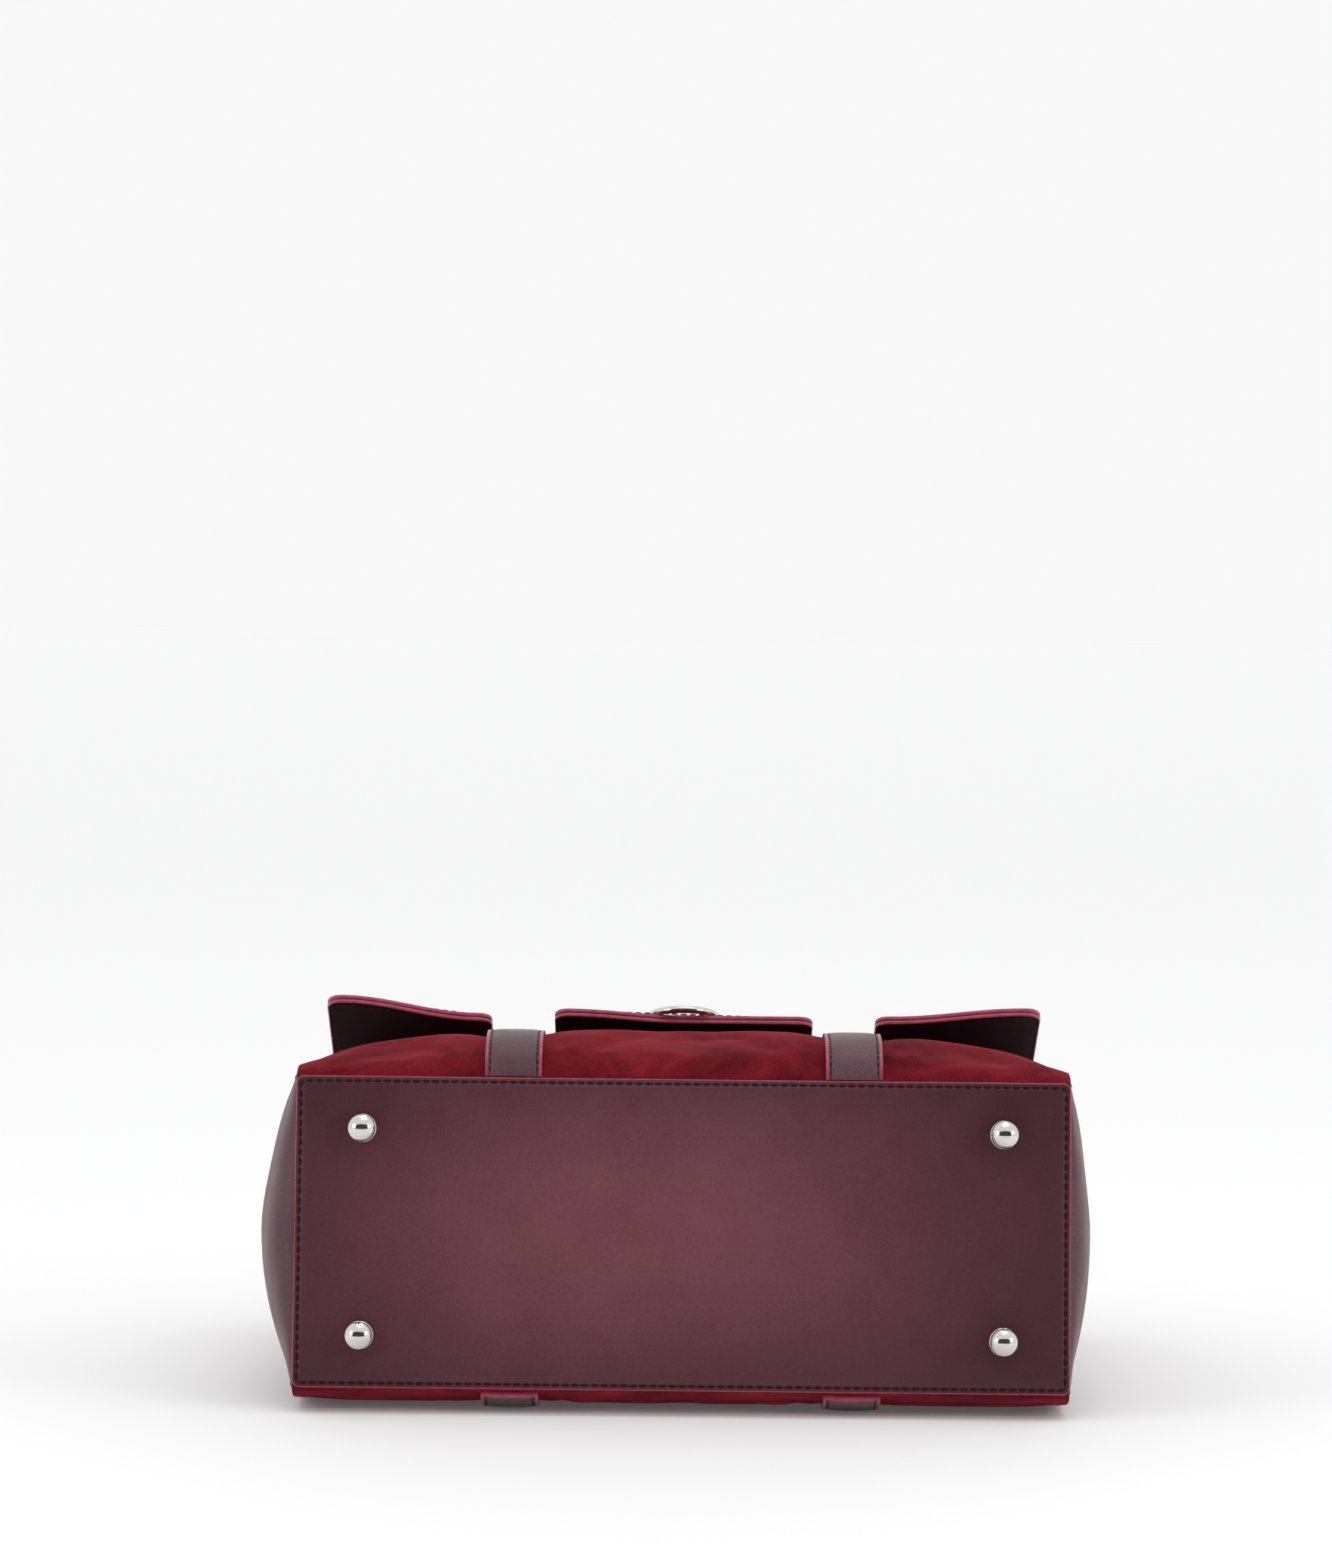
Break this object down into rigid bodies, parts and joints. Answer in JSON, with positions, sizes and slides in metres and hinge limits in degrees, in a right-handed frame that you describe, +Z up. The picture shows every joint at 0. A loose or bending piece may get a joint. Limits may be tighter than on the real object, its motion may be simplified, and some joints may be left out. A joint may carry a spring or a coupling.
{
  "type": "satchel bag",
  "caption": "Structured top-handle satchel bag lying on its back: suede body, leather base with metal feet, straps and a slotted flap with a pull ring.",
  "frame": {"origin": "under the middle of the bag's box, on the plane that its back lies on", "axes": "The bag lies on its back. +Z is up, out of the bag's front, square to the plane that its back straps lie on. +Y runs along that plane from the bag's base to its mouth and handles, and -Y is the side that the metal feet point to. +X is across the bag, to the right of someone who looks at the base with the bag's front upwards."},
  "size_m": [0.3498, 0.3832, 0.1592],
  "materials": {
    "plum_leather": "smooth fine-grained plum leather with a soft satin sheen, raspberry painted edges and tonal stitching",
    "strap_leather": "the same smooth plum leather in straps and rolled handles, raspberry painted edges, stitched close to both edges",
    "suede": "deep red suede with a short brushed nap that shows lighter and darker patches",
    "nickel": "polished nickel plate",
    "lining": "plain woven cotton lining",
    "board": "grey fibre board",
    "steel": "zinc-plated steel"
  },
  "bodies": {
    "bag_body": {"base_panel": "plum_leather", "base_board": "board", "foot_1": "nickel", "foot_2": "nickel", "foot_3": "nickel", "foot_4": "nickel", "foot_washer_1": "steel", "foot_washer_2": "steel", "foot_washer_3": "steel", "foot_washer_4": "steel", "front_panel": "suede", "back_panel": "suede", "gusset_left": "plum_leather", "gusset_right": "plum_leather", "front_strap_left": "strap_leather", "front_strap_right": "strap_leather", "back_strap_left": "strap_leather", "back_strap_right": "strap_leather", "lining": "lining", "mouth_facing": "plum_leather", "inner_pocket": "lining", "flap_band": "plum_leather", "snap_socket": "nickel"},
    "flap": {"flap_top": "plum_leather"},
    "left_tab": {"flap_tab_left": "plum_leather"},
    "center_tab": {"flap_tab_center": "plum_leather", "ring_keeper": "plum_leather", "snap_stud": "nickel"},
    "right_tab": {"flap_tab_right": "plum_leather"},
    "ring": {"pull_ring": "nickel"},
    "front_grip": {"front_handle": "strap_leather"},
    "back_grip": {"back_handle": "strap_leather"}
  },
  "joints": [
    {"name": "flap_fold", "type": "hinge", "parent": "bag_body", "child": "flap", "pos_m": [0, 0.05184, 0.00565], "axis": [-1, 0, 0], "range_deg": [0, 60]},
    {"name": "left_tab_fold", "type": "hinge", "parent": "flap", "child": "left_tab", "pos_m": [-0.1205, 0.06289, 0.09245], "axis": [-1, 0, 0], "range_deg": [-7, 65]},
    {"name": "center_tab_fold", "type": "hinge", "parent": "flap", "child": "center_tab", "pos_m": [0, 0.06289, 0.09245], "axis": [-1, 0, 0], "range_deg": [-6, 65]},
    {"name": "right_tab_fold", "type": "hinge", "parent": "flap", "child": "right_tab", "pos_m": [0.1205, 0.06289, 0.09245], "axis": [-1, 0, 0], "range_deg": [-7, 65]},
    {"name": "ring_swing", "type": "hinge", "parent": "center_tab", "child": "ring", "pos_m": [0, -0.01776, 0.1473], "axis": [-1, 0, 0], "range_deg": [0, 140]},
    {"name": "front_handle_swing", "type": "hinge", "parent": "bag_body", "child": "front_grip", "pos_m": [0, 0.06477, 0.08818], "axis": [1, 0, 0], "range_deg": [-2, 125]},
    {"name": "back_handle_swing", "type": "hinge", "parent": "bag_body", "child": "back_grip", "pos_m": [0, 0.05435, 0.0013], "axis": [-1, 0, 0], "range_deg": [-14, 0]}
  ]
}
